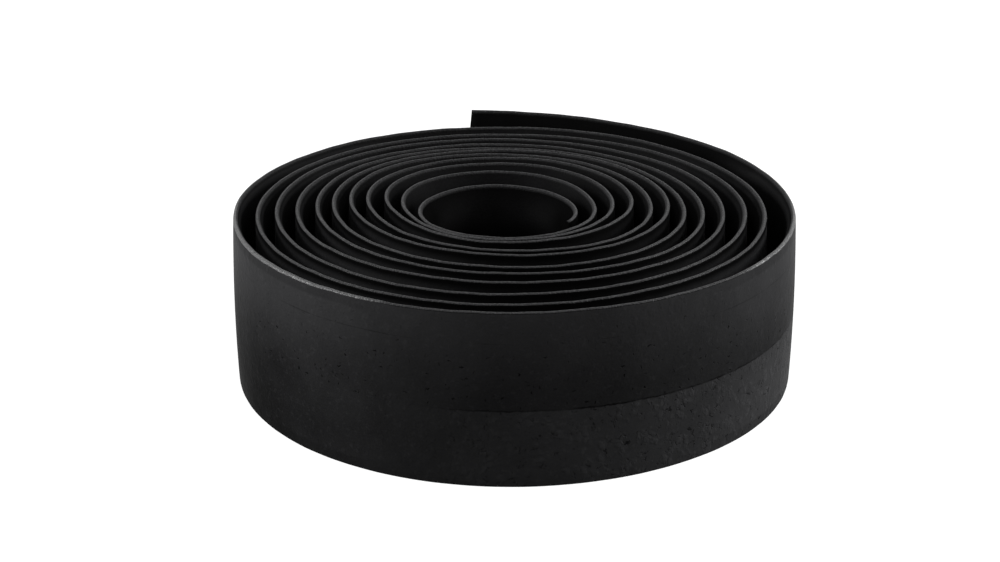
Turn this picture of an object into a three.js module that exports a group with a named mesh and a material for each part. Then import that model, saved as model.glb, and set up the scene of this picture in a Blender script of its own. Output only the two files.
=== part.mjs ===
// Handlebar tape roll: one strip of foam tape, loosely wound and standing on its long edge.
// Millimetres, +Z up. The origin is on the floor, under the middle of the roll's box.

import * as THREE from "three";

// The strip's cross-section.
const TAPE_WIDTH = 30;
const EDGE_THICKNESS = 0.8; // at the two long edges
const MIDDLE_THICKNESS = 2.2; // between the bevelled borders, where nothing squeezes it
const BORDER_WIDTH = 5; // of each border, bevelled on the inner face
const CROWN_HEIGHT = 0.35; // of the arched outer face over its edges
const TURN_CLEARANCE = 0.1; // between two turns that lie against each other

// The winding, counter-clockwise seen from above and outwards. Angles are in degrees from +X.
const FULL_TURN = 360;
const INNER_END_ANGLE = -40;
const TAIL_END_ANGLE = 97;

// Distances are given at six directions, in the order of the winding from the inner end's own:
// front right, right, back, back left, left and front left.
const DIRECTIONS = 6;

// From the roll's axis to the middle of the innermost turn.
const INNER_RADII = [13.2, 10.7, 10.7, 13.0, 16.0, 16.4];

// Spare room between each turn and the turn inside it.
const TURN_GAPS = [
  [1.9, 3.5, 6.7, 6.2, 0.6, 0.1],
  [0.5, 3.2, 4.0, 3.5, 0.7, 0.1],
  [1.1, 2.8, 2.7, 2.1, 2.9, 2.9],
  [4.3, 1.8, 1.1, 2.2, 2.0, 1.2],
  [1.2, 2.4, 1.8, 1.2, 3.1, 4.7],
  [3.7, 1.0, 0.1, 1.4, 2.2, 2.0],
  [2.5, 2.1, 1.5, 1.5, 3.0, 3.1],
  [2.4, 2.8, 2.4, 2.4, 2.9, 4.4],
  [2.9, 3.0, 2.5, 1.6, 2.7, 3.5],
  [2.8, 2.5, 3.6, 3.3, 2.9, 2.5],
];

// Spare room inside the tail, the last part of the strip, which springs away from the roll.
const TAIL_GAPS = [3.5, 4.9, 8.6, 15.9];

// Facets.
const STEP_ANGLE = 7.5; // of one facet, the same on every turn, so that the turns stay parallel
const CROWN_FACETS = 3; // across the outer face

const SECTOR_ANGLE = FULL_TURN / DIRECTIONS;
const LAST_ANGLE = (TURN_GAPS.length + 1) * FULL_TURN + TAIL_END_ANGLE;
const BELLY_HEIGHT = MIDDLE_THICKNESS - EDGE_THICKNESS - CROWN_HEIGHT;

// A smooth curve through the distance from the roll's axis to the middle of the strip's edge,
// one sector after another: each turn lies outside the one before it.
function windingCurve() {
  const radii = [...INNER_RADII];
  for (const gap of [...TURN_GAPS.flat(), ...TAIL_GAPS]) {
    radii.push(radii.at(-DIRECTIONS) + EDGE_THICKNESS + TURN_CLEARANCE + gap);
  }
  return new THREE.SplineCurve(radii.map((radius, n) => new THREE.Vector2(n, radius)));
}

const WINDING = windingCurve();

// From the roll's axis to the middle of the strip's edge.
function radiusAt(angle) {
  const sectors = (angle - INNER_END_ANGLE) / SECTOR_ANGLE;
  const share = sectors / (WINDING.points.length - 1);
  return WINDING.getPoint(THREE.MathUtils.clamp(share, 0, 1)).y;
}

function hasTurnInside(angle) {
  return angle - FULL_TURN >= INNER_END_ANGLE;
}

// Air between the edges of a turn and of the turn inside it.
function airInside(angle) {
  return radiusAt(angle) - radiusAt(angle - FULL_TURN) - EDGE_THICKNESS;
}

// The outer face arches into half of the room that the next turn leaves.
function crownAt(angle) {
  if (angle + FULL_TURN > LAST_ANGLE) {
    return CROWN_HEIGHT;
  }
  return Math.min(CROWN_HEIGHT, (airInside(angle + FULL_TURN) - TURN_CLEARANCE) / 2);
}

// The foam on the inner face swells into what is left, up to its free thickness.
function bellyAt(angle) {
  if (!hasTurnInside(angle)) {
    return BELLY_HEIGHT;
  }
  const room = airInside(angle) - TURN_CLEARANCE - crownAt(angle - FULL_TURN);
  return Math.min(BELLY_HEIGHT, room);
}

// The cross-section at an angle: distance outwards from the edge's middle, and height.
function sectionAt(angle) {
  const half = EDGE_THICKNESS / 2;
  const crown = crownAt(angle);
  const back = -half - bellyAt(angle);
  const section = [];
  for (let n = 0; n <= CROWN_FACETS; n += 1) {
    const share = n / CROWN_FACETS;
    const arch = 4 * share * (1 - share);
    section.push([half + crown * arch, TAPE_WIDTH * share]);
  }
  section.push([-half, TAPE_WIDTH]);
  section.push([back, TAPE_WIDTH - BORDER_WIDTH]);
  section.push([back, BORDER_WIDTH]);
  section.push([-half, 0]);
  return section;
}

// The two cut ends, and every facet's edge between them.
function facetAngles() {
  const angles = [INNER_END_ANGLE];
  const first = Math.floor(INNER_END_ANGLE / STEP_ANGLE) + 1;
  for (let n = first; n * STEP_ANGLE < LAST_ANGLE; n += 1) {
    angles.push(n * STEP_ANGLE);
  }
  angles.push(LAST_ANGLE);
  return angles;
}

function sectionPoints(angle) {
  const turned = THREE.MathUtils.degToRad(angle);
  const radius = radiusAt(angle);
  return sectionAt(angle).flatMap(([out, height]) => [
    (radius + out) * Math.cos(turned),
    (radius + out) * Math.sin(turned),
    height,
  ]);
}

// The faces along the strip, between each section and the next.
function sideFaces(sections, corners) {
  const faces = [];
  for (let s = 0; s < sections - 1; s += 1) {
    for (let n = 0; n < corners; n += 1) {
      const next = (n + 1) % corners;
      const a = s * corners + n;
      const b = s * corners + next;
      const c = a + corners;
      const d = b + corners;
      faces.push(a, c, d, a, d, b);
    }
  }
  return faces;
}

// The straight cuts at the inner end and at the tail.
function endFaces(sections, corners) {
  const tail = (sections - 1) * corners;
  const faces = [];
  for (let n = 1; n < corners - 1; n += 1) {
    faces.push(0, n, n + 1);
    faces.push(tail, tail + n + 1, tail + n);
  }
  return faces;
}

function tapeGeometry() {
  const angles = facetAngles();
  const corners = sectionAt(INNER_END_ANGLE).length;
  const points = angles.flatMap(sectionPoints);
  const faces = [...sideFaces(angles.length, corners), ...endFaces(angles.length, corners)];
  const geometry = new THREE.BufferGeometry();
  geometry.setAttribute("position", new THREE.Float32BufferAttribute(points, 3));
  geometry.setIndex(faces);
  geometry.computeVertexNormals();
  return geometry;
}

// Puts the middle of the roll's box over the origin.
function centred(geometry) {
  geometry.computeBoundingBox();
  const middle = geometry.boundingBox.getCenter(new THREE.Vector3());
  return geometry.translate(-middle.x, -middle.y, 0);
}

function tape() {
  const material = new THREE.MeshStandardMaterial({ color: 0x1c1c1d, roughness: 0.8, metalness: 0 });
  const mesh = new THREE.Mesh(centred(tapeGeometry()), material);
  mesh.name = "handlebar_tape";
  return mesh;
}

const roll = new THREE.Group();
roll.add(tape());

export default roll;
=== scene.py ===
"""Looks of the handlebar tape roll: the wound strip, its finish, and a plain studio.

The roll is built in metres, in the part's own frame: +Z up, the floor at zero.
"""

import math

import bpy
import numpy as np
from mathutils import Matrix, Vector


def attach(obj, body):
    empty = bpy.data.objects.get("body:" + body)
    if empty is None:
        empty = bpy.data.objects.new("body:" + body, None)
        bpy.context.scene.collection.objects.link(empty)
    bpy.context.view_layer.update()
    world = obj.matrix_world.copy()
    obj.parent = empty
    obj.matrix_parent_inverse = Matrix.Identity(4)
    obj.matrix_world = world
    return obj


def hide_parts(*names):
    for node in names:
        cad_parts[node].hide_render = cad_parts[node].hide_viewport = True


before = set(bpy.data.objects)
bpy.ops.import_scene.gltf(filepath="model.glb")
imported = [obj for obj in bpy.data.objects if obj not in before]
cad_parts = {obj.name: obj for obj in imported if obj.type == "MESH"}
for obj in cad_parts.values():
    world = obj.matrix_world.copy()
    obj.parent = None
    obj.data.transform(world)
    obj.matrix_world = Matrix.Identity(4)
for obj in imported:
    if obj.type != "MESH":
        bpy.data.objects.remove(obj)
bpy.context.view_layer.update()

MM = 0.001

# The strip's cross-section.
TAPE_WIDTH = 30 * MM
EDGE_THICKNESS = 0.8 * MM
MIDDLE_THICKNESS = 2.2 * MM
BORDER_WIDTH = 5 * MM
CROWN_HEIGHT = 0.35 * MM
TURN_CLEARANCE = 0.1 * MM
OUTER_ROUNDING = 0.3 * MM  # of the lips, towards the outer face
FREE_ROUNDING = 0.5 * MM  # the same where the outermost turn's lip is soft
LOWER_ROUNDING = 0.2 * MM  # the same along the lower edge
LOWER_FLARE = 0.22 * MM  # how far the outermost turn leans out at its foot
INNER_SLOPE = 0.6 * MM  # depth over which the lips round off towards the inner face
LIP_RISE = 0.1 * MM  # how far the upper lip rises and falls along the strip
LIP_SWAY = 0.05 * MM  # how far both lips stray in and out
TAIL_SLANT = 5  # degrees by which the tail's cut leans
SLANT_REACH = 9 * MM  # length of the strip over which it comes in

# The winding, as the part has it: angles in degrees from +X, distances at six directions a turn.
INNER_END_ANGLE = -40
TAIL_END_ANGLE = 97
DIRECTIONS = 6
INNER_RADII = [13.2, 10.7, 10.7, 13.0, 16.0, 16.4]
TURN_GAPS = [
    [1.9, 3.5, 6.7, 6.2, 0.6, 0.1],
    [0.5, 3.2, 4.0, 3.5, 0.7, 0.1],
    [1.1, 2.8, 2.7, 2.1, 2.9, 2.9],
    [4.3, 1.8, 1.1, 2.2, 2.0, 1.2],
    [1.2, 2.4, 1.8, 1.2, 3.1, 4.7],
    [3.7, 1.0, 0.1, 1.4, 2.2, 2.0],
    [2.5, 2.1, 1.5, 1.5, 3.0, 3.1],
    [2.4, 2.8, 2.4, 2.4, 2.9, 4.4],
    [2.9, 3.0, 2.5, 1.6, 2.7, 3.5],
    [2.8, 2.5, 3.6, 3.3, 2.9, 2.5],
]
TAIL_GAPS = [3.5, 4.9, 8.6, 15.9]
FULL_TURN = 360
FINE_ANGLE = 0.5  # of the steps that the strip's length is measured by
SECTION_SPACING = 1.4 * MM
SECTOR_ANGLE = FULL_TURN / DIRECTIONS
LAST_ANGLE = (len(TURN_GAPS) + 1) * FULL_TURN + TAIL_END_ANGLE
BELLY_HEIGHT = MIDDLE_THICKNESS - EDGE_THICKNESS - CROWN_HEIGHT

# The outermost turn's lip is thin and sharp around this azimuth, and soft further to both sides.
SHARP_LIP_MIDDLE = -76.5
SHARP_LIP_HALF = 38.5
LIP_CHANGE = 3  # degrees to either side over which it changes
FRONT_HALF = (-0.1, 0.1)  # forward of the axis, in radii, where the front half begins
JOINING_ANGLE = 60  # degrees of the winding over which the outermost turn takes on its own form

# Points of the contour's parts, and the strip's materials in their order.
FACE_STEPS = 8
ARC_STEPS = 6
BORDER_STEPS = 7
FACE, LIP, BACK = range(3)

# Waves by which the lips stray along the strip: lengths in millimetres, and weights.
RIPPLES = ((47, 0.4), (19, 0.25), (8.3, 0.2), (4.9, 0.15))
RISE_PHASE = 2.2
UPPER_SWAY_PHASE = 1.3
LOWER_SWAY_PHASE = 4.1

# In the materials, sizes and places are in millimetres, as the texture coordinates are, and the
# heights of the relief in metres. A pair is the start and the end of a change.

# The outer face: a pebbled band along the lower edge, and pits in the plain part above it.
WIDTH = TAPE_WIDTH / MM
BAND_WIDTH = 13.3
BAND_RIM = BAND_WIDTH + 0.25  # with the middle of its wobble
BAND_WOBBLE = 0.5
BAND_EDGE = (BAND_RIM - 0.15, BAND_RIM + 0.15)
GROOVE_DROP = 0.12
GROOVE_WIDTH = 0.24
GROOVE_STRENGTH = (0.1, 0.5)
PEBBLE_SIZE = 1.25
PEBBLE_BEND = 1.6
PEBBLE_WAVES = 0.8 * PEBBLE_SIZE
PEBBLE_SLOPE = (0.1, 0.8)  # from a pebble's middle, in pebbles
PEBBLE_PATCHES = 2 * PEBBLE_SIZE
CREASE_WIDTH = 0.16
CREASE_DEPTH = 0.8  # next to the pits' depth of 1
CREASE_PATCHES = 1.3 * PEBBLE_SIZE
CREASE_LENGTH = 0.7 * PEBBLE_SIZE
GROOVE_PATCHES = 3 * PEBBLE_SIZE
PIT_SPACING = 0.85
PIT_SHARE = 0.8  # of the cells that hold a pit
PIT_BEND = 0.9
PIT_WAVES = 0.7 * PIT_SPACING
PIT_SLOPE = (0.05, 0.2)  # from a pit's middle, in spacings
PIT_STRETCHES = ((0.35, 1.0), (1.0, 0.5))  # along and across the strip, for each kind of pit
PIT_SHIFT = 71  # along the strip, between the two kinds
PITTED = (BAND_WIDTH + 4, WIDTH - 1)  # heights between which the pits grow fainter
FEWEST_PITS = 0.25
GRAIN_SIZE = 0.35
FLECK_SIZE = 0.8
MOTTLE_SIZE = 9
LINE_HEIGHT = WIDTH - 5.2  # of a faint line along the strip
LINE_WIDTH = 0.14
LINE_PATCHES = 14
LINE_STRENGTH = 0.4
OUTERMOST = (1930, 1960)  # along the strip, where its outermost turn begins
SMOOTH_THEN_GRAINED = (2028, 2060)  # along the strip: before it, the band is worn smooth
LOW_SHADE_THEN_CLEAR = (1985, 2030)  # along the strip: before it, its lower part is darkened by painted shade
LOW_SHADE_HEIGHTS = (4, 24)
RELIEF = 0.12 * MM  # height of 1 in the outer face's relief

# Levels of the noise between which patches set in.
PATCH_CLOUDS = (0.45, 0.6)
CREASE_CLOUDS = (0.48, 0.62)
GROOVE_CLOUDS = (0.3, 0.65)
FLECK_CLOUDS = (0.55, 0.72)
SPARKLE_CLOUDS = (0.35, 0.68)

# The noise's layers of detail, and the strength of each next to the one before it.
PLAIN_DETAIL = 3
MOTTLE_DETAIL = 4
SPARKLE_DETAIL = 2
NOISE_ROUGHNESS = 0.55

# Painted light and shade: inside the roll, the outer face is darkened near its lips and towards the
# front's middle, and lightened towards the sides.
SHADED_THEN_LIT = (0.6, 2.2)  # from the long edges
DARK_ACROSS = 5  # right of the middle
FROM_DARK = (5, 38)
PAINTED_SHADING_TONES = (0.2, 1.3)

# Shares of the outer face's parts in its relief and in its tone.
RELIEF_SHARES = {"dents": -0.7, "grain": 0.1, "domes": 0.2, "band domes": 0.5, "swells": 0.3}
TONE_SHARES = {
    "grain": 0.2,
    "mottle": 0.3,
    "band domes": 0.15,
    "grained band": 0.3,
    "painted upper light": 0.3,
    "painted low shade": -0.3,
    "flecks": 0.12,
    "crease_shade": -0.6,
}
LOWEST_TONE = 0.05

# The lips: light foam at the very edge with painted shade below it, as dark as the back, under the
# outer face's film, which has a painted highlight.
LIGHT_THEN_DARK = (0.08, 0.5)  # from the long edges, over which painted shade darkens the foam
SPARKLE_SIZE = 0.35
SPARKLE_HEIGHT = 0.08 * MM
FILM_EDGE = (-0.2, 0.04)  # where the film begins on the lip, out of the edge's middle
LIT_THEN_DARK = (0.12, 0.26)  # from the long edges, on the film: a painted highlight
FOAM_TONES = (0.35, 0.45)  # without a sparkle, and what a sparkle adds
FILM_TONES = (0.6, 0.4)
SOFT_PAINTED_HIGHLIGHT = 0.4  # painted highlight added where the lip is soft
LIP_GLOSS = 0.01
LIT_GLOSS = 0.03  # added where the film is lit
SOFT_GLOSS = 0.25  # added where the lip is soft
PLAIN_GLOSS = 0.04  # of all lips, for viewers that can't vary it

# Painted light and shade on the back: the wall of the hole and the tail are darkened, and the sides of
# the roll lightened.
FOAM_SIZE = 0.4
FOAM_HEIGHT = 0.05 * MM
HOLE_WALL = (70, 100)  # along the strip, where it ends
FAR_WALL = (-2, 4.5)  # back from the middle
WALL_HEIGHT = 25  # of the painted lighter belt around the far wall
WALL_BELT = 4.5
BELT_PAINTED_LIGHT = 0.9
FAR_PAINTED_LIGHT = 0.1
WALL_PAINTED_SHADE = -0.84  # painted shade added to the back's own 1, on the whole wall
ROLL_THEN_TAIL = (2135, 2165)  # along the strip
TAIL_PAINTED_SHADE = 0.3
RIGHT_SIDE = (12, 36)
RIGHT_PAINTED_LIGHT = 3.2
LEFT_SIDE = (-38, -18)
LEFT_PAINTED_LIGHT = 6.0
BELOW_LIPS = (0.6, 2.0)  # from the long edges

# Each material's darkest and lightest colour.
FACE_COLOURS = ((0.0015, 0.0015, 0.0015), (0.028, 0.028, 0.029))
LIP_COLOURS = ((0.0045, 0.0045, 0.0046), (0.036, 0.036, 0.037))
BACK_COLOURS = ((0.001, 0.001, 0.001), (0.0102, 0.0102, 0.0105))
FACE_GLOSS = 0.009
FACE_ROUGHNESS = (0.26, 0.12)  # at least, and what the grain adds
LIP_ROUGHNESS = (0.5, -0.18)  # of foam, and what the film adds
MATT_ROUGHNESS = 0.9

# The studio: lamps by name with place in metres, size and power, and what lights the rest.
LAMPS = {
    "left_light": ((-0.75, -0.04, 0.27), (0.6, 0.4), 11.2),
    "right_light": ((0.73, 0.08, 0.27), (0.6, 0.4), 12.3),
    "front_light": ((0, -0.45, 0.65), (0.7, 0.5), 2.2),
}
WORLD_STRENGTH = 0.12
WHITE = 1.0
FLOOR_HALF = 3.0
FLOOR_COLOUR = (0.25, 0.25, 0.25, 1)
FLOOR_GLOW = 0.85
FLOOR_MIRRORED = 0.1  # share of the glow that reflections show

# Camera, from the roll's rims and outline in the photograph.
CAMERA_PLACE = (-2.58 * MM, -361.8 * MM, 155.63 * MM)
CAMERA_PITCH = 21.36  # degrees below level
CAMERA_LENS = 77.37  # in millimetres, as the sensor
CAMERA_SENSOR = 36
CAMERA_NEAR = 10 * MM


def winding_radii():
    """The winding's distance from its axis at every direction, turn upon turn."""
    radii = list(INNER_RADII)
    step = (EDGE_THICKNESS + TURN_CLEARANCE) / MM
    for gap in [*sum(TURN_GAPS, []), *TAIL_GAPS]:
        radii.append(radii[-DIRECTIONS] + step + gap)
    return np.array(radii) * MM


WINDING = winding_radii()


def radius_at(angles):
    """A smooth curve through the winding's radii, read at these angles."""
    last = len(WINDING) - 1
    place = np.clip((angles - INNER_END_ANGLE) / SECTOR_ANGLE, 0, last)
    start = np.floor(place).astype(int)
    t = place - start
    before, here, after, beyond = (
        WINDING[np.clip(start + shift, 0, last)] for shift in (-1, 0, 1, 2)
    )
    leave = (after - before) / 2
    arrive = (beyond - here) / 2
    cubic = 2 * here - 2 * after + leave + arrive
    square = 3 * after - 3 * here - 2 * leave - arrive
    return ((cubic * t + square) * t + leave) * t + here


def air_inside(angles):
    """Air between the edges of a turn and of the turn inside it."""
    return radius_at(angles) - radius_at(angles - FULL_TURN) - EDGE_THICKNESS


def crown_at(angles):
    """The outer face arches into half of the room that the next turn leaves."""
    room = (air_inside(angles + FULL_TURN) - TURN_CLEARANCE) / 2
    free = angles + FULL_TURN > LAST_ANGLE
    return np.where(free, CROWN_HEIGHT, np.minimum(CROWN_HEIGHT, room))


def belly_at(angles):
    """The foam on the inner face swells into what is left, up to its free thickness."""
    room = air_inside(angles) - TURN_CLEARANCE - crown_at(angles - FULL_TURN)
    free = angles - FULL_TURN < INNER_END_ANGLE
    return np.where(free, BELLY_HEIGHT, np.minimum(BELLY_HEIGHT, room))


def on_outermost(angles):
    """1 on the outermost turn, the tail's, and 0 on the turns inside it."""
    start = LAST_ANGLE - FULL_TURN
    return smooth_step(angles, start - JOINING_ANGLE, start)


def from_sharp_lip(angles):
    """Degrees around the roll from the middle of the sharp lip."""
    return np.abs((angles - SHARP_LIP_MIDDLE + FULL_TURN / 2) % FULL_TURN - FULL_TURN / 2)


def soft_lip(angles):
    """1 where the outermost turn's lip is soft and shiny, at the front left and right, else 0."""
    in_front = smooth_step(-np.sin(np.radians(angles)), *FRONT_HALF)
    change = (SHARP_LIP_HALF - LIP_CHANGE, SHARP_LIP_HALF + LIP_CHANGE)
    beside = smooth_step(from_sharp_lip(angles), *change)
    return on_outermost(angles) * in_front * beside


def lip_rounding(angles):
    """Rounding of the lips towards the outer face: a soft lip is rounder, the further the more."""
    far = smooth_step(from_sharp_lip(angles), SHARP_LIP_HALF, 2 * SHARP_LIP_HALF)
    share = soft_lip(angles) * far
    return OUTER_ROUNDING + (FREE_ROUNDING - OUTER_ROUNDING) * share


def smooth_step(value, low, high):
    share = np.clip((value - low) / (high - low), 0, 1)
    return share * share * (3 - 2 * share)


def quarter(start):
    """Cosines and sines over a quarter turn, from the angle start in degrees."""
    turned = np.radians(start + np.linspace(0, 90, ARC_STEPS))
    return np.stack([np.cos(turned), np.sin(turned)], axis=1)


def upper_half():
    """The contour's upper half, from mid height on the outer face to mid height on the inner one.

    Each row is a point: its part, and then its share of that part, or its cosine and sine on
    one of the lip's arcs.
    """
    rows = [("face", share, 0) for share in np.linspace(0, 1, FACE_STEPS)[:-1]]
    rows += [("outer arc", c, s) for c, s in quarter(0)]
    rows += [("inner arc", c, s) for c, s in quarter(90)[1:]]
    rows += [("border", share, 0) for share in np.linspace(0, 1, BORDER_STEPS)[1:]]
    rows.append(("back", 0.5, 0))
    return rows


def upper_points(rounding):
    """Distance out and height of the upper half's points, for each section's lip rounding."""
    half = EDGE_THICKNESS / 2
    middle = TAPE_WIDTH / 2
    apex = half - rounding
    slope_top = TAPE_WIDTH - INNER_SLOPE
    out, height, swell = [], [], []
    for part, a, b in upper_half():
        if part == "face":
            point = (half, middle + a * (middle - rounding), 0)
        elif part == "outer arc":
            point = (apex + rounding * a, TAPE_WIDTH - rounding + rounding * b, 0)
        elif part == "inner arc":
            point = (apex + (apex + half) * a, slope_top + INNER_SLOPE * b, 0)
        elif part == "border":
            point = (-half, slope_top - a * (BORDER_WIDTH - INNER_SLOPE), 1 - (1 - a) ** 3)
        else:
            point = (-half, middle + a * (middle - BORDER_WIDTH), 1)
        for values, value in zip((out, height, swell), point):
            values.append(value + 0 * rounding)
    return np.stack(out, 1), np.stack(height, 1), np.stack(swell, 1)


def contour(rounding):
    """The whole contour of every section: distance out, height and swelling."""
    out, height, swell = upper_points(rounding)
    below = [values[:, :0:-1] for values in upper_points(LOWER_ROUNDING + 0 * rounding)]
    mirrored = [below[0], TAPE_WIDTH - below[1], below[2]]
    back = [out[:, -1:], TAPE_WIDTH / 2 + 0 * out[:, -1:], swell[:, -1:]]
    return [np.concatenate(parts, 1) for parts in zip((out, height, swell), back, mirrored)]


def contour_parts():
    """The name of each contour point's part, in the contour's order."""
    upper = [part for part, _, _ in upper_half()]
    return upper + ["back"] + upper[:0:-1]


def section_angles():
    """Angles of sections that are evenly spaced along the strip, and the strip's length."""
    angles = np.arange(INNER_END_ANGLE, LAST_ANGLE + FINE_ANGLE / 2, FINE_ANGLE)
    turned = np.radians(angles)
    middle = radius_at(angles) * np.array([np.cos(turned), np.sin(turned)])
    along = np.concatenate([[0], np.cumsum(np.hypot(*np.diff(middle)))])
    places = np.linspace(0, along[-1], round(along[-1] / SECTION_SPACING) + 1)
    return np.interp(places, along, angles), places


def ripple(along, phase):
    """A gentle irregular wave along the strip, from -1 to 1."""
    waves = [
        weight * np.sin(math.tau * along / (length * MM) + phase * (n + 1))
        for n, (length, weight) in enumerate(RIPPLES)
    ]
    return sum(waves)


def strip_points():
    """The strip's points, section after section, with their places on the flat strip.

    A place is the distance along the strip, the height, and how far out of the edge's middle.
    """
    angles, along = section_angles()
    out, height, swell = contour(lip_rounding(angles))
    share = height / TAPE_WIDTH
    is_outer = np.isin(contour_parts(), ["face", "outer arc"])
    crown = crown_at(angles)[:, None] * 4 * share * (1 - share)
    belly = belly_at(angles)[:, None] * swell
    slant = math.tan(math.radians(TAIL_SLANT)) * smooth_step(along, along[-1] - SLANT_REACH, along[-1])
    slid = slant[:, None] * (height - TAPE_WIDTH) / radius_at(angles)[:, None]
    upper_sway = ripple(along, UPPER_SWAY_PHASE)[:, None]
    lower_sway = ripple(along, LOWER_SWAY_PHASE)[:, None]
    sway = LIP_SWAY * np.abs(2 * share - 1) ** 3
    sway = sway * np.where(share > 0.5, upper_sway, lower_sway)
    flare = LOWER_FLARE * on_outermost(angles)[:, None] * (1 - share)
    reach = radius_at(angles)[:, None] + out + np.where(is_outer, crown, -belly) + sway + flare
    up = height + LIP_RISE * ripple(along, RISE_PHASE)[:, None] * share ** 2
    turned = np.radians(angles)[:, None] - slid
    points = np.stack([reach * np.cos(turned), reach * np.sin(turned), up], axis=2)
    places = np.stack([along[:, None] + 0 * height, height, out], axis=2)
    box_middle = (points.min((0, 1)) + points.max((0, 1))) / 2
    points[..., :2] -= box_middle[:2]
    softness = np.repeat(soft_lip(angles), out.shape[1])
    return points, places, softness, along[-1]


def strip_faces(sections, corners):
    """Quads along the strip, and a fan of triangles over each cut end."""
    section, n = np.meshgrid(np.arange(sections - 1), np.arange(corners), indexing="ij")
    a = section * corners + n
    b = section * corners + (n + 1) % corners
    sides = np.stack([a, a + corners, b + corners, b], axis=-1).reshape(-1, 4)
    tail = (sections - 1) * corners
    inner_cut = list(range(corners))
    tail_cut = [tail + n for n in reversed(range(corners))]
    return sides.tolist() + [inner_cut, tail_cut]


def quad_material(here, there):
    """Which of the strip's three materials lies between two contour points."""
    if "face" in (here, there):
        return FACE
    if "arc" in here and "arc" in there:
        return LIP
    return BACK


def make_strip():
    """The strip's mesh, with a material for its outer face, its edges and its back."""
    points, places, softness, length = strip_points()
    sections, corners = points.shape[:2]
    faces = strip_faces(sections, corners)
    mesh = bpy.data.meshes.new("tape")
    mesh.from_pydata(points.reshape(-1, 3).tolist(), [], faces)
    flat = mesh.attributes.new("strip", "FLOAT_VECTOR", "POINT")
    flat.data.foreach_set("vector", places.reshape(-1).astype(np.float32))
    soft = mesh.attributes.new("soft_lip", "FLOAT", "POINT")
    soft.data.foreach_set("value", softness.astype(np.float32))
    for material in (outer_face(), cut_edge(), inner_face()):
        mesh.materials.append(material)
    parts = contour_parts()
    slots = [quad_material(parts[n], parts[(n + 1) % corners]) for n in range(corners)]
    index = np.concatenate([np.tile(slots, sections - 1), [BACK, BACK]]).astype(np.int32)
    mesh.polygons.foreach_set("material_index", index)
    smooth = np.ones(len(index), bool)
    smooth[-2:] = False
    mesh.polygons.foreach_set("use_smooth", smooth)
    mesh.update()
    strip = bpy.data.objects.new("tape", mesh)
    bpy.context.scene.collection.objects.link(strip)
    return strip, length


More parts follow.
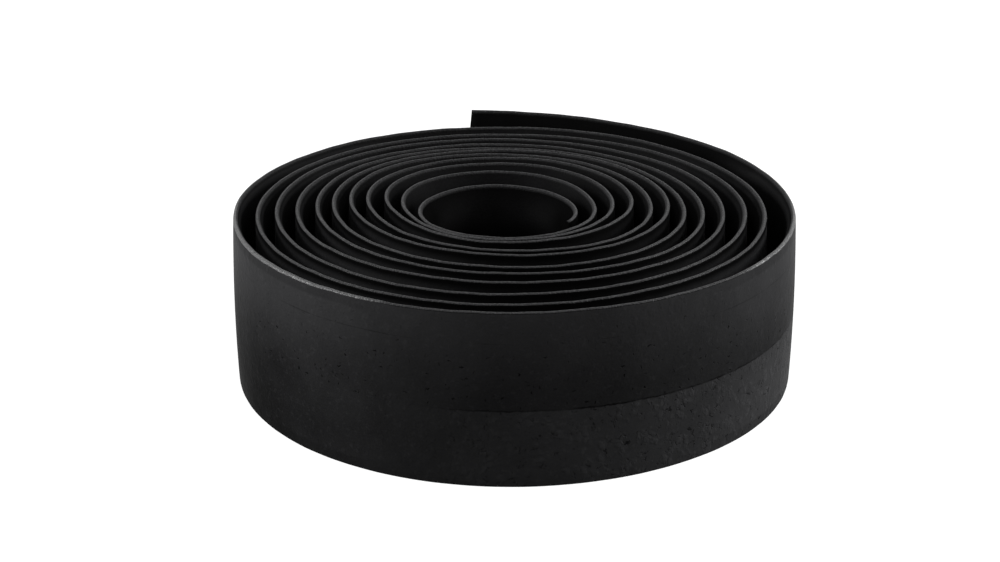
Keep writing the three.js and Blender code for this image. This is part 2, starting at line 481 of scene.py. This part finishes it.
class Nodes:
    """A small helper that adds and joins shader nodes."""

    def __init__(self, name):
        self.material = bpy.data.materials.new(name)
        self.material.use_nodes = True
        self.tree = self.material.node_tree
        self.shader = self.tree.nodes["Principled BSDF"]

    def add(self, kind, **settings):
        node = self.tree.nodes.new(kind)
        for key, value in settings.items():
            setattr(node, key, value)
        return node

    def join(self, output, socket):
        self.tree.links.new(output, socket)

    def put(self, value, socket):
        """Joins an output to a socket, or sets the socket to a number."""
        if isinstance(value, bpy.types.NodeSocket):
            self.join(value, socket)
        else:
            socket.default_value = value

    def math(self, operation, *values):
        node = self.add("ShaderNodeMath", operation=operation)
        for socket, value in zip(node.inputs, values):
            self.put(value, socket)
        return node.outputs[0]

    def product(self, *values):
        result = values[0]
        for value in values[1:]:
            result = self.math("MULTIPLY", result, value)
        return result

    def plus(self, base, value, weight):
        """base plus value times weight."""
        return self.math("MULTIPLY_ADD", value, weight, base)

    def weighted(self, base, parts, shares):
        """base plus each part that has a share, times that share."""
        for name, share in shares.items():
            base = self.plus(base, parts[name], share)
        return base

    def either(self, *values):
        """The highest of the values."""
        result = values[0]
        for value in values[1:]:
            result = self.math("MAXIMUM", result, value)
        return result

    def steps(self, value, change, start=0.0, end=1.0):
        """start below the change's first number, end above its second, and smooth between them."""
        node = self.add("ShaderNodeMapRange", interpolation_type="SMOOTHSTEP")
        names = ("From Min", "From Max", "To Min", "To Max")
        for name, number in zip(names, (*change, start, end)):
            node.inputs[name].default_value = number
        self.join(value, node.inputs["Value"])
        return node.outputs["Result"]

    def in_millimetres(self, place):
        scaled = self.add("ShaderNodeVectorMath", operation="SCALE")
        self.join(place, scaled.inputs[0])
        scaled.inputs["Scale"].default_value = 1 / MM
        return scaled.outputs[0]

    def on_strip(self):
        """The place on the flat strip: along it, and above its lower edge."""
        place = self.add("ShaderNodeAttribute", attribute_name="strip")
        return self.in_millimetres(place.outputs["Vector"])

    def in_space(self):
        return self.in_millimetres(self.add("ShaderNodeTexCoord").outputs["Object"])

    def across_and_back(self):
        """The place in the frame, from left to right and from front to back."""
        split = self.add("ShaderNodeSeparateXYZ")
        self.join(self.in_space(), split.inputs[0])
        return split.outputs["X"], split.outputs["Y"]

    def along_height_out(self):
        split = self.add("ShaderNodeSeparateXYZ")
        self.join(self.on_strip(), split.inputs[0])
        return [split.outputs[axis] for axis in "XYZ"]

    def depth(self, height):
        """Distance on the flat strip from the nearer long edge."""
        from_middle = self.math("ABSOLUTE", self.math("SUBTRACT", height, WIDTH / 2))
        return self.math("SUBTRACT", WIDTH / 2, from_middle)

    def noise(self, place, size, detail=PLAIN_DETAIL):
        node = self.add("ShaderNodeTexNoise")
        self.join(place, node.inputs["Vector"])
        node.inputs["Scale"].default_value = 1 / size
        node.inputs["Detail"].default_value = detail
        node.inputs["Roughness"].default_value = NOISE_ROUGHNESS
        return node.outputs["Fac"]

    def cells(self, place, size, feature):
        node = self.add("ShaderNodeTexVoronoi", feature=feature)
        self.join(place, node.inputs["Vector"])
        node.inputs["Scale"].default_value = 1 / size
        return node

    def ridge(self, value, middle, width):
        """1 where value is middle, falling to 0 at width to either side."""
        away = self.math("ABSOLUTE", self.math("SUBTRACT", value, middle))
        return self.steps(away, (0.0, width), 1.0, 0.0)

    def patches(self, place, size, clouds=PATCH_CLOUDS):
        """1 in some patches of about this size, 0 between them."""
        return self.steps(self.noise(place, size), clouds)

    def warped(self, place, size, reach):
        """The place, led astray by up to half of reach in waves of about this size."""
        wander = self.add("ShaderNodeTexNoise")
        self.join(place, wander.inputs["Vector"])
        wander.inputs["Scale"].default_value = 1 / size
        warp = self.add("ShaderNodeVectorMath", operation="MULTIPLY_ADD")
        self.join(wander.outputs["Color"], warp.inputs[0])
        warp.inputs[1].default_value = (reach, reach, 0.0)
        self.join(place, warp.inputs[2])
        return warp.outputs[0]

    def leather(self, place):
        """Domed pebbles in patches, and the dark creases between some of them."""
        bent = self.warped(place, PEBBLE_WAVES, PEBBLE_BEND)
        near = self.cells(bent, PEBBLE_SIZE, "F1")
        domes = self.steps(near.outputs["Distance"], PEBBLE_SLOPE, 1.0, 0.0)
        domes = self.product(domes, self.patches(place, PEBBLE_PATCHES))
        edges = self.cells(bent, PEBBLE_SIZE, "DISTANCE_TO_EDGE")
        lines = self.ridge(edges.outputs["Distance"], 0.0, CREASE_WIDTH / PEBBLE_SIZE)
        some = self.patches(place, CREASE_PATCHES, CREASE_CLOUDS)
        return domes, self.product(lines, some)

    def pits(self, place):
        """Small scattered dents, some of them drawn out along or across the strip."""
        bent = self.warped(place, PIT_WAVES, PIT_BEND)
        found = 0.0
        for stretch in PIT_STRETCHES:
            squeezed = self.add("ShaderNodeVectorMath", operation="MULTIPLY_ADD")
            self.join(bent, squeezed.inputs[0])
            squeezed.inputs[1].default_value = (*stretch, 0)
            squeezed.inputs[2].default_value = (PIT_SHIFT * stretch[0], 0, 0)
            cells = self.cells(squeezed.outputs[0], PIT_SPACING, "F1")
            shape = self.steps(cells.outputs["Distance"], PIT_SLOPE, 1.0, 0.0)
            chance = self.add("ShaderNodeSeparateColor")
            self.join(cells.outputs["Color"], chance.inputs[0])
            kept = self.math("LESS_THAN", chance.outputs[0], PIT_SHARE)
            found = self.either(found, self.product(kept, chance.outputs[1], shape))
        return found

    def bump(self, height, distance):
        """distance is in metres, for a height from 0 to 1."""
        node = self.add("ShaderNodeBump")
        self.join(height, node.inputs["Height"])
        node.inputs["Strength"].default_value = 1
        node.inputs["Distance"].default_value = distance
        self.join(node.outputs["Normal"], self.shader.inputs["Normal"])

    def colour(self, tone, colours):
        """The base colour, from the darkest at tone 0 to the lightest at tone 1."""
        node = self.add("ShaderNodeMix", data_type="RGBA")
        self.join(tone, node.inputs["Factor"])
        node.inputs["A"].default_value = (*colours[0], 1)
        node.inputs["B"].default_value = (*colours[1], 1)
        self.join(node.outputs["Result"], self.shader.inputs["Base Color"])


def dents_and_crease_shade(nodes, flat, height, wobble, leathery, creases):
    """The outer face's dents for its relief, and the painted shade in its dents, along a groove and
    along a line.
    """
    short = nodes.patches(flat, CREASE_LENGTH)
    creases = nodes.product(creases, leathery, short, CREASE_DEPTH)
    plain = nodes.steps(wobble, BAND_EDGE)
    fewer = nodes.steps(height, PITTED, 1.0, FEWEST_PITS)
    dents = nodes.either(creases, nodes.product(nodes.pits(flat), plain, fewer))
    # Painted shade along a groove at the band's rim, in the colour only.
    groove = nodes.ridge(wobble, BAND_RIM + GROOVE_DROP, GROOVE_WIDTH)
    clouds = nodes.noise(flat, GROOVE_PATCHES)
    strength = nodes.steps(clouds, GROOVE_CLOUDS, *GROOVE_STRENGTH)
    grained = nodes.steps(nodes.along_height_out()[0], SMOOTH_THEN_GRAINED)
    groove = nodes.product(groove, grained, strength)
    # Painted shade along a faint line, in the colour only.
    line = nodes.ridge(height, LINE_HEIGHT, LINE_WIDTH)
    line = nodes.product(line, nodes.patches(flat, LINE_PATCHES), LINE_STRENGTH)
    return dents, nodes.either(dents, groove, line)


def free_of_painted_shade(nodes, along, height):
    """1 on the outermost turn, and on the turns inside it painted shade where little light falls in,
    and painted light towards the sides.
    """
    outermost = nodes.steps(along, OUTERMOST)
    across = nodes.across_and_back()[0]
    from_dark = nodes.math("ABSOLUTE", nodes.math("SUBTRACT", across, DARK_ACROSS))
    lit = nodes.steps(nodes.depth(height), SHADED_THEN_LIT)
    # Painted shade towards the front's middle, and painted light towards the sides.
    painted_shading = nodes.product(lit, nodes.steps(from_dark, FROM_DARK, *PAINTED_SHADING_TONES))
    return nodes.either(painted_shading, outermost)


def outer_face():
    """Grained film: soft pebbles and creases on the lower band, scattered pits above it."""
    nodes = Nodes("tape_outer_face")
    flat = nodes.on_strip()
    along, height, _ = nodes.along_height_out()
    grain = nodes.noise(flat, GRAIN_SIZE)
    swells = nodes.noise(flat, PEBBLE_SIZE)
    domes, creases = nodes.leather(flat)
    wobble = nodes.plus(height, swells, BAND_WOBBLE)
    band = nodes.steps(wobble, BAND_EDGE, 1.0, 0.0)
    leathery = nodes.product(band, nodes.steps(along, SMOOTH_THEN_GRAINED))
    dents, crease_shade = dents_and_crease_shade(nodes, flat, height, wobble, leathery, creases)
    parts = {
        "dents": dents,
        "grain": grain,
        "domes": domes,
        "band domes": nodes.product(domes, leathery),
        "swells": swells,
        "mottle": nodes.noise(flat, MOTTLE_SIZE, MOTTLE_DETAIL),
        "grained band": leathery,
        # Painted light: lighter towards the upper edge, above the band.
        "painted upper light": nodes.steps(height, (BAND_WIDTH, WIDTH)),
        # Painted shade: darker towards the lower edge, up to a place on the outermost turn.
        "painted low shade": nodes.product(
            nodes.steps(height, LOW_SHADE_HEIGHTS, 1.0, 0.0),
            nodes.steps(along, LOW_SHADE_THEN_CLEAR, 1.0, 0.0),
        ),
        "flecks": nodes.patches(flat, FLECK_SIZE, FLECK_CLOUDS),
        "crease_shade": crease_shade,
    }
    nodes.bump(nodes.weighted(0.0, parts, RELIEF_SHARES), RELIEF)
    # The tone takes the painted shade of the dents, the groove and the line.
    tone = nodes.weighted(LOWEST_TONE, parts, TONE_SHARES)
    nodes.colour(nodes.product(tone, free_of_painted_shade(nodes, along, height)), FACE_COLOURS)
    least, grainy = FACE_ROUGHNESS
    nodes.join(nodes.plus(least, grain, grainy), nodes.shader.inputs["Roughness"])
    nodes.shader.inputs["Specular IOR Level"].default_value = FACE_GLOSS
    return nodes.material


def cut_edge():
    """The strip's lips: film with a painted highlight over the outer part, sparkling foam that painted
    shade darkens towards the back.
    """
    nodes = Nodes("tape_cut_edge")
    _, height, out = nodes.along_height_out()
    depth = nodes.depth(height)
    film = nodes.steps(out, FILM_EDGE)
    upper_film = nodes.product(film, nodes.math("GREATER_THAN", height, WIDTH / 2))
    soft = nodes.add("ShaderNodeAttribute", attribute_name="soft_lip").outputs["Fac"]
    soft_film = nodes.product(upper_film, soft)
    sparkle = nodes.noise(nodes.in_space(), SPARKLE_SIZE, SPARKLE_DETAIL)
    sparkle = nodes.steps(sparkle, SPARKLE_CLOUDS)
    nodes.bump(sparkle, SPARKLE_HEIGHT)
    foam = nodes.plus(FOAM_TONES[0], sparkle, FOAM_TONES[1])
    # Painted shade: the foam darkens away from the edge.
    foam = nodes.product(foam, nodes.steps(depth, LIGHT_THEN_DARK, 1.0, 0.0))
    foam = nodes.product(foam, nodes.math("SUBTRACT", 1.0, film))
    # Painted highlight: the film is light near the edge, and all over where the lip is soft.
    lit = nodes.either(soft, nodes.steps(depth, LIT_THEN_DARK, 1.0, 0.0))
    lit = nodes.product(lit, upper_film)
    lit_film = nodes.plus(FILM_TONES[0], sparkle, FILM_TONES[1])
    lit_film = nodes.plus(lit_film, soft_film, SOFT_PAINTED_HIGHLIGHT)
    nodes.colour(nodes.either(nodes.product(lit_film, lit), foam), LIP_COLOURS)
    bare, filmed = LIP_ROUGHNESS
    nodes.join(nodes.plus(bare, film, filmed), nodes.shader.inputs["Roughness"])
    gloss = nodes.plus(LIP_GLOSS, lit, LIT_GLOSS)
    gloss = nodes.plus(gloss, soft_film, SOFT_GLOSS)
    nodes.shader.inputs["Specular IOR Level"].default_value = PLAIN_GLOSS
    nodes.join(gloss, nodes.shader.inputs["Specular IOR Level"])
    return nodes.material


def back_painted_light(nodes):
    """The painted light and shade on the back, next to its own tone, by its place on the strip and in
    the roll.
    """
    along, height, _ = nodes.along_height_out()
    across, back = nodes.across_and_back()
    # Painted light on the hole's far wall, and painted shade on the whole wall.
    belt = nodes.plus(FAR_PAINTED_LIGHT, nodes.ridge(height, WALL_HEIGHT, WALL_BELT), BELT_PAINTED_LIGHT)
    wall = nodes.plus(WALL_PAINTED_SHADE, belt, nodes.steps(back, FAR_WALL))
    wall = nodes.product(wall, nodes.steps(along, HOLE_WALL, 1.0, 0.0))
    in_roll = nodes.steps(along, ROLL_THEN_TAIL, 1.0, 0.0)
    # Painted light towards the roll's sides, below the lips.
    right = nodes.steps(across, RIGHT_SIDE, 0.0, RIGHT_PAINTED_LIGHT)
    left = nodes.steps(across, LEFT_SIDE, LEFT_PAINTED_LIGHT, 0.0)
    below = nodes.product(nodes.steps(nodes.depth(height), BELOW_LIPS), in_roll)
    # Painted shade on the tail.
    tone = nodes.plus(TAIL_PAINTED_SHADE, in_roll, 1 - TAIL_PAINTED_SHADE)
    tone = nodes.math("ADD", tone, wall)
    return nodes.plus(tone, nodes.math("ADD", left, right), below)


def inner_face():
    """The matt foam back, with painted light and shade."""
    nodes = Nodes("tape_inner_face")
    flat = nodes.on_strip()
    foam = nodes.noise(flat, FOAM_SIZE)
    nodes.bump(foam, FOAM_HEIGHT)
    mixed = nodes.math("ADD", nodes.noise(flat, MOTTLE_SIZE), foam)
    nodes.colour(nodes.product(mixed, 0.5, back_painted_light(nodes)), BACK_COLOURS)
    nodes.shader.inputs["Roughness"].default_value = MATT_ROUGHNESS
    nodes.shader.inputs["Specular IOR Level"].default_value = 0
    return nodes.material


def make_camera():
    data = bpy.data.cameras.new("camera")
    data.sensor_width = CAMERA_SENSOR
    data.lens = CAMERA_LENS
    data.clip_start = CAMERA_NEAR
    camera = bpy.data.objects.new("camera", data)
    camera.location = CAMERA_PLACE
    camera.rotation_euler = (math.radians(90 - CAMERA_PITCH), 0, 0)
    bpy.context.scene.collection.objects.link(camera)
    bpy.context.scene.camera = camera


def soft_light(name, place, target, size, power):
    """An area lamp at a place, turned to a target."""
    data = bpy.data.lights.new(name, "AREA")
    data.shape = "RECTANGLE"
    data.size, data.size_y = size
    data.energy = power
    lamp = bpy.data.objects.new(name, data)
    lamp.location = place
    lamp.rotation_euler = (Vector(target) - Vector(place)).to_track_quat("-Z", "Y").to_euler()
    bpy.context.scene.collection.objects.link(lamp)


def make_lights():
    middle = (0, 0, TAPE_WIDTH / 2)
    for name, (place, size, power) in LAMPS.items():
        soft_light(name, place, middle, size, power)


def white_where_seen(tree, mirrored):
    """1 for rays from the camera or through glass, and mirrored for reflected ones."""
    path = tree.nodes.new("ShaderNodeLightPath")
    reflected = tree.nodes.new("ShaderNodeMath")
    reflected.operation = "MULTIPLY"
    tree.links.new(path.outputs["Is Glossy Ray"], reflected.inputs[0])
    reflected.inputs[1].default_value = mirrored
    last = reflected.outputs[0]
    for name in ("Is Camera Ray", "Is Transmission Ray"):
        both = tree.nodes.new("ShaderNodeMath")
        both.operation = "MAXIMUM"
        tree.links.new(last, both.inputs[0])
        tree.links.new(path.outputs[name], both.inputs[1])
        last = both.outputs[0]
    return last


def make_world():
    """White behind the roll, and a weak even light from all around."""
    world = bpy.data.worlds.new("studio")
    bpy.context.scene.world = world
    world.use_nodes = True
    tree = world.node_tree
    background = tree.nodes["Background"]
    background.inputs["Color"].default_value = (1, 1, 1, 1)
    level = tree.nodes.new("ShaderNodeMapRange")
    tree.links.new(white_where_seen(tree, 1.0), level.inputs["Value"])
    level.inputs["To Min"].default_value = WORLD_STRENGTH
    level.inputs["To Max"].default_value = WHITE
    tree.links.new(level.outputs["Result"], background.inputs["Strength"])


def floor_material():
    """A pale floor that the camera sees as white, apart from the roll's shadow."""
    material = bpy.data.materials.new("floor")
    material.use_nodes = True
    tree = material.node_tree
    shader = tree.nodes["Principled BSDF"]
    shader.inputs["Base Color"].default_value = FLOOR_COLOUR
    shader.inputs["Roughness"].default_value = MATT_ROUGHNESS
    shader.inputs["Specular IOR Level"].default_value = 0
    shader.inputs["Emission Color"].default_value = (1, 1, 1, 1)
    glow = tree.nodes.new("ShaderNodeMath")
    glow.operation = "MULTIPLY"
    tree.links.new(white_where_seen(tree, FLOOR_MIRRORED), glow.inputs[0])
    glow.inputs[1].default_value = FLOOR_GLOW
    tree.links.new(glow.outputs[0], shader.inputs["Emission Strength"])
    return material


def make_floor():
    size = FLOOR_HALF
    mesh = bpy.data.meshes.new("floor")
    corners = [(-size, -size, 0), (size, -size, 0), (size, size, 0), (-size, size, 0)]
    mesh.from_pydata(corners, [], [(0, 1, 2, 3)])
    mesh.materials.append(floor_material())
    floor = bpy.data.objects.new("floor", mesh)
    bpy.context.scene.collection.objects.link(floor)


make_camera()
make_lights()
make_world()
make_floor()
strip, strip_length = make_strip()
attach(strip, "root")
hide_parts("handlebar_tape")
bpy.context.scene.view_settings.view_transform = "Standard"
